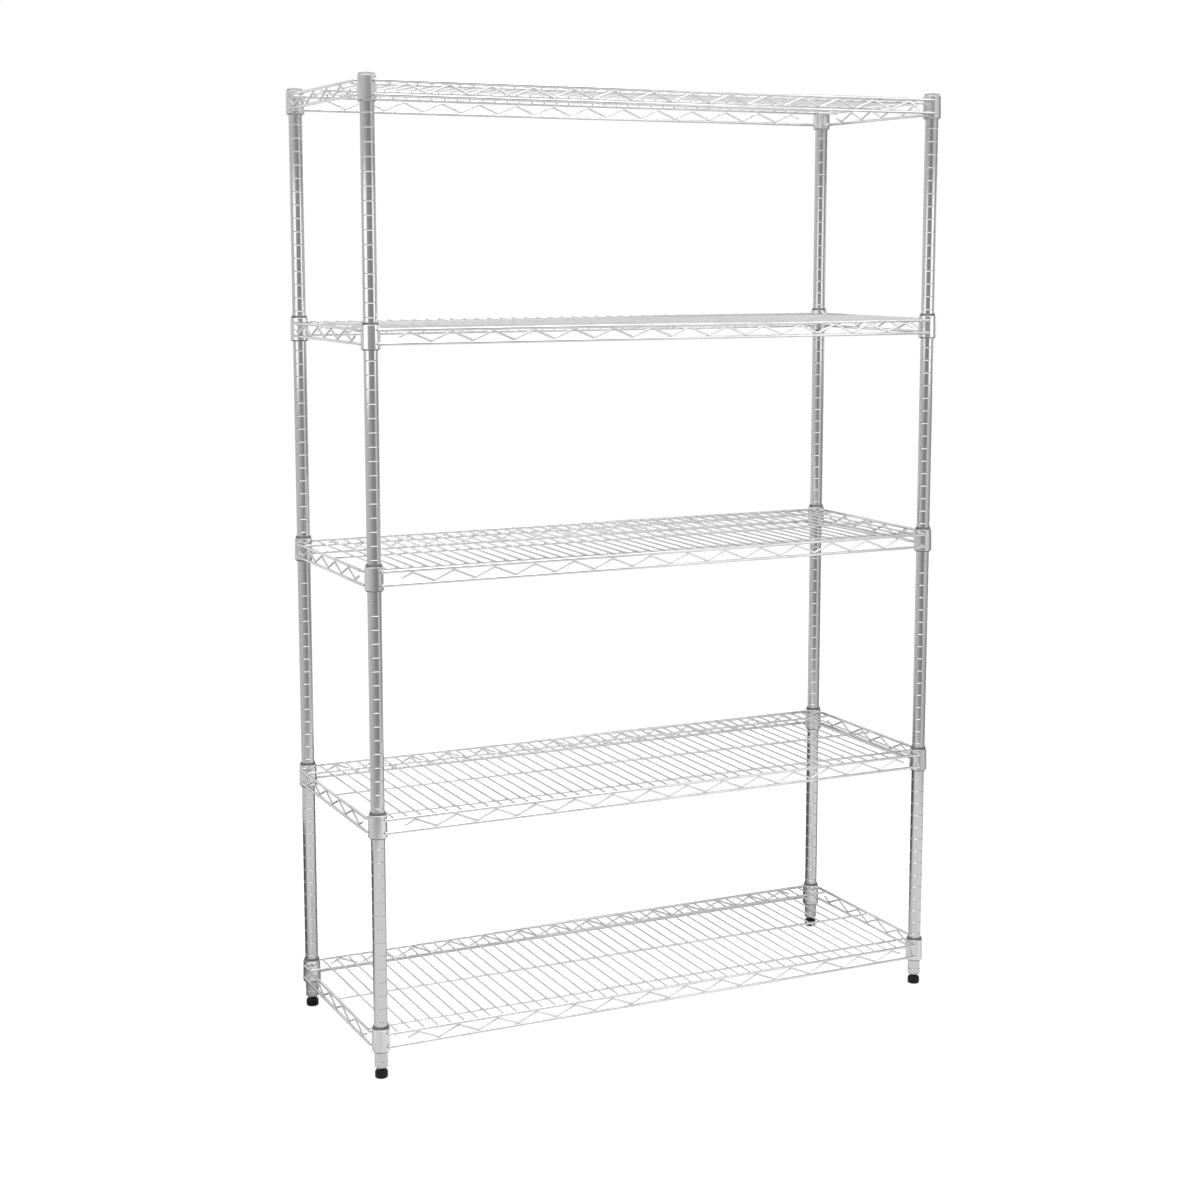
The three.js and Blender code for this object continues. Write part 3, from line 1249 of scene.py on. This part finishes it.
@dataclass
class Studio:
    """The pale floor, the soft light and what the chrome reflects.

    Attributes:
        world_light: How bright the world is for diffuse light.
        floor_size: The side of the floor.
        floor_grey: The floor's own grey.
        seen_glow: What the floor adds to it where the camera sees it.
        mirrored_glow: How bright the floor in front of the rack is in reflections.
        dim: How bright the floor behind the rack is in reflections.
        dim_edge: The depths at which the one ends and the other begins, from the back.
        ring_radius: The radius of the ring of screens that only reflections see.
        ring_height: Their height.
        strip_foot: The height at which the light strips among the screens begin.
        strip_top: The height at which they end.
        strip_fade: The height over which they fade at either end.
        strip_edge: The angle over which their sides fade, in degrees.
        strip_glow: How bright they are.
        skirt: The height over which the screens take on their own greys above the floor.
        skirt_grey: The grey that they have at the floor.
        skirt_blend: How softly the one turns into the other.
        ceiling: The height of the soft light overhead that reflections see.
        ceiling_radius: How far it reaches.
        ceiling_glow: How bright it is beyond its bright middle.
        panel_place: The place of the bright middle, across and from front to back.
        panel: Its radius.
        panel_fade: How far from that radius its edge fades, inwards and outwards.
        panel_glow: How bright the middle is.
        lamp_aim: The height of the point that the lamps face.
    """

    world_light: float = 0.65
    floor_size: float = 40.0
    floor_grey: float = 0.8
    seen_glow: float = 0.5
    mirrored_glow: float = 0.95
    dim: float = 0.15
    dim_edge: tuple[float, float] = (0.43, -0.17)
    ring_radius: float = 1.95
    ring_height: float = 2.05
    strip_foot: float = 1.14
    strip_top: float = 1.67
    strip_fade: float = 0.07
    strip_edge: float = 4
    strip_glow: float = 1.0
    skirt: float = 0.16
    skirt_grey: float = 0.85
    skirt_blend: float = 0.3
    ceiling: float = 3.4
    ceiling_radius: float = 9.0
    ceiling_glow: float = 0.8
    panel_place: tuple[float, float] = (-0.4, -0.5)
    panel: float = 1.9
    panel_fade: float = 0.3
    panel_glow: float = 2.6
    lamp_aim: float = 0.9

    # The ring's greys, by the angle from the front round to the left, in degrees.
    SCREENS = (
        (-180, 0.9), (-172, 0.5), (-150, 0.42), (-144, 0.75), (-125, 0.75), (-112, 0.32),
        (-80, 0.36), (-60, 0.66), (-24, 0.84), (-16, 0.4), (12, 0.33), (38, 0.42), (60, 0.55),
        (100, 0.75), (130, 0.7), (144, 0.82), (162, 0.86), (174, 1.0), (180, 0.9),
    )
    # The middle and half the width of each light strip, in degrees.
    STRIPS = ((-94, 5), (-40, 11), (74, 14))
    # The name, place, side and power of each lamp.
    LAMPS = (
        ("key_light", (-2.6, -3.0, 4.2), 2.2, 90.0),
        ("fill_light", (3.2, -2.0, 3.8), 2.0, 50.0),
    )
    RING_FLATS = 96
    CEILING_FLATS = 48

    @staticmethod
    def staged(name: str, mesh: Mesh, material: bpy.types.Material, hidden: bool) -> None:
        """Adds a piece of the studio.

        Args:
            name: The piece's name.
            mesh: Its mesh.
            material: Its material.
            hidden: Whether only reflections see it.
        """
        data = bpy.data.meshes.new(name)
        mesh.to_mesh(data)
        mesh.free()
        data.materials.append(material)
        piece = bpy.data.objects.new(name, data)
        bpy.context.scene.collection.objects.link(piece)
        if hidden:
            data.shade_smooth()
            piece.visible_camera = False
            piece.visible_diffuse = False
            piece.visible_transmission = False
            piece.visible_shadow = False

    def world(self) -> None:
        """Sets a white world, softer for diffuse light than for what is seen."""
        world = bpy.data.worlds.new("studio")
        bpy.context.scene.world = world
        tree = Tree.emptied(world)
        path = tree.add("ShaderNodeLightPath").outputs
        seen = tree.math("MAXIMUM", path["Is Camera Ray"], path["Is Glossy Ray"])
        seen = tree.math("MAXIMUM", seen, path["Is Transmission Ray"])
        strength = tree.between(seen, self.world_light, 1.0)
        back = tree.add("ShaderNodeBackground", {"Color": WHITE, "Strength": strength})
        tree.add("ShaderNodeOutputWorld", {"Surface": back.outputs[0]})

    def floor(self) -> None:
        """Lays a white floor that keeps a soft shadow."""
        mesh = bmesh.new()
        bmesh.ops.create_grid(mesh, x_segments=1, y_segments=1, size=self.floor_size / 2)
        material = bpy.data.materials.new("floor_paper")
        tree = Tree.emptied(material)
        level = self.floor_grey
        paper = tree.add("ShaderNodeBsdfDiffuse", {"Color": (level, level, level, 1.0)})
        path = tree.add("ShaderNodeLightPath").outputs
        glow = tree.glow(tree.math("MULTIPLY", path["Is Camera Ray"], self.seen_glow))
        both = tree.add("ShaderNodeAddShader", {0: paper.outputs[0], 1: glow}).outputs[0]
        front = tree.rise(tree.axes()["Y"], *self.dim_edge)
        mirrored = tree.glow(tree.between(front, self.dim, self.mirrored_glow))
        mixed = tree.add("ShaderNodeMixShader", {0: path["Is Glossy Ray"], 1: both, 2: mirrored})
        tree.surface(mixed.outputs[0])
        self.staged("floor", mesh, material, hidden=False)

    @staticmethod
    def round_stops(stops: Points) -> Points:
        """Turns stops by degrees from the front into stops by shares of the ring."""
        return [((degrees + 180) / 360, value) for degrees, value in stops]

    def screens(self) -> None:
        """Stands a ring of grey screens and light strips round the rack, seen by reflections."""
        mesh = bmesh.new()
        bmesh.ops.create_cone(
            mesh,
            cap_ends=False,
            segments=self.RING_FLATS,
            radius1=self.ring_radius,
            radius2=self.ring_radius,
            depth=self.ring_height,
            matrix=Matrix.Translation((0, 0, self.ring_height / 2)),
        )
        material = bpy.data.materials.new("screens")
        tree = Tree.emptied(material)
        axes = tree.axes()
        left, front = (tree.math("MULTIPLY", axes[axis], -1.0) for axis in "XY")
        turn = tree.math("MULTIPLY_ADD", tree.math("ARCTAN2", left, front), 1 / math.tau, 0.5)

        tone = tree.ramp(turn, self.round_stops(self.SCREENS))
        tone = tree.math("SUBTRACT", tone, self.skirt_grey)
        skirt = tree.math("DIVIDE", axes["Z"], self.skirt)
        skirt = tree.math("SMOOTH_MIN", skirt, 1.0, self.skirt_blend)
        tone = tree.math("MULTIPLY_ADD", tone, skirt, self.skirt_grey)

        edges = []
        for middle, half in self.STRIPS:
            edges += [(middle - half - self.strip_edge, 0.0), (middle - half, 1.0)]
            edges += [(middle + half, 1.0), (middle + half + self.strip_edge, 0.0)]
        strips = tree.ramp(turn, self.round_stops(edges))
        fade = self.strip_fade
        rise = tree.rise(axes["Z"], self.strip_foot - fade, self.strip_foot + fade)
        fall = tree.rise(axes["Z"], self.strip_top + fade, self.strip_top - fade)
        band = tree.math("MULTIPLY", strips, tree.math("MULTIPLY", rise, fall))
        tree.surface(tree.glow(tree.math("MULTIPLY_ADD", band, self.strip_glow, tone)))
        self.staged("screens", mesh, material, hidden=True)

    def overhead(self) -> None:
        """Hangs a broad white light that only reflections see."""
        mesh = bmesh.new()
        bmesh.ops.create_circle(
            mesh,
            cap_ends=True,
            radius=self.ceiling_radius,
            segments=self.CEILING_FLATS,
            matrix=Matrix.Translation((0, 0, self.ceiling)),
        )
        material = bpy.data.materials.new("overhead")
        tree = Tree.emptied(material)
        ends = {0: tree.place(), 1: (*self.panel_place, self.ceiling)}
        reach = tree.add("ShaderNodeVectorMath", ends, operation="DISTANCE").outputs["Value"]
        panel = tree.rise(reach, self.panel + self.panel_fade, self.panel - self.panel_fade)
        tree.surface(tree.glow(tree.between(panel, self.ceiling_glow, self.panel_glow)))
        self.staged("overhead", mesh, material, hidden=True)

    def lamp(self, name: str, place: Vector, size: float, power: float) -> None:
        """Hangs a square soft light that faces the rack.

        Args:
            name: The light's name.
            place: Where it hangs.
            size: Its side.
            power: Its power.
        """
        light = bpy.data.lights.new(name, "AREA")
        light.shape = "SQUARE"
        light.size = size
        light.energy = power
        holder = bpy.data.objects.new(name, light)
        holder.location = place
        toward = Vector((0, 0, self.lamp_aim)) - place
        holder.rotation_euler = toward.to_track_quat("-Z", "Y").to_euler()
        bpy.context.scene.collection.objects.link(holder)

    def build(self) -> None:
        """Sets the world, the floor, the screens and the lights."""
        self.world()
        self.floor()
        self.screens()
        self.overhead()
        for name, place, size, power in self.LAMPS:
            self.lamp(name, Vector(place), size, power)


@dataclass
class Viewpoint:
    """The camera at the photograph's viewing angle.

    Attributes:
        place: Where it stands.
        heading: How far it looks to the right of straight ahead, in degrees.
        pitch: How far it looks up, in degrees.
        focal: Its focal length as a share of the picture's width.
        centre: The place of its axis in the picture, as shares from the left and the top.
        sensor: The width of its sensor, in millimetres.
        far: How far it sees.
    """

    place: tuple[float, float, float] = (-1.7937, -3.6767, 1.5)
    heading: float = 25.508
    pitch: float = -7.922
    focal: float = 2093 / 1200
    centre: tuple[float, float] = (0.5, 0.45)
    sensor: float = 36.0
    far: float = 100.0

    def build(self) -> None:
        """Makes the camera and hands it to the scene."""
        lens = bpy.data.cameras.new("camera")
        lens.sensor_width = self.sensor
        lens.lens = self.sensor * self.focal
        lens.shift_x = 0.5 - self.centre[0]
        lens.shift_y = self.centre[1] - 0.5
        lens.clip_end = self.far
        camera = bpy.data.objects.new("camera", lens)
        camera.location = self.place
        tilt = math.radians(90 + self.pitch)
        camera.rotation_euler = (tilt, 0.0, -math.radians(self.heading))
        bpy.context.scene.collection.objects.link(camera)
        bpy.context.scene.camera = camera


def main() -> None:
    """Builds the rack, the studio and the camera."""
    logging.basicConfig(level=logging.INFO, format="%(message)s")
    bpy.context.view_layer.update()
    bpy.context.scene.view_settings.view_transform = "Standard"
    Viewpoint().build()
    Studio().build()
    GroovedPost().build()
    PostEnds().build()
    SplitSleeve().build()
    LevellingFoot().build()
    post = Node.centre(Node.at("post_lower", Corner.BACK_RIGHT))
    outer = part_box(Node.frame(Shelf.BOTTOM))[1]
    rail = WireShelf.rail
    WireShelf(post.x, post.y, outer[0] - rail, outer[1] - rail).build()


if __name__ == "__main__":
    main()
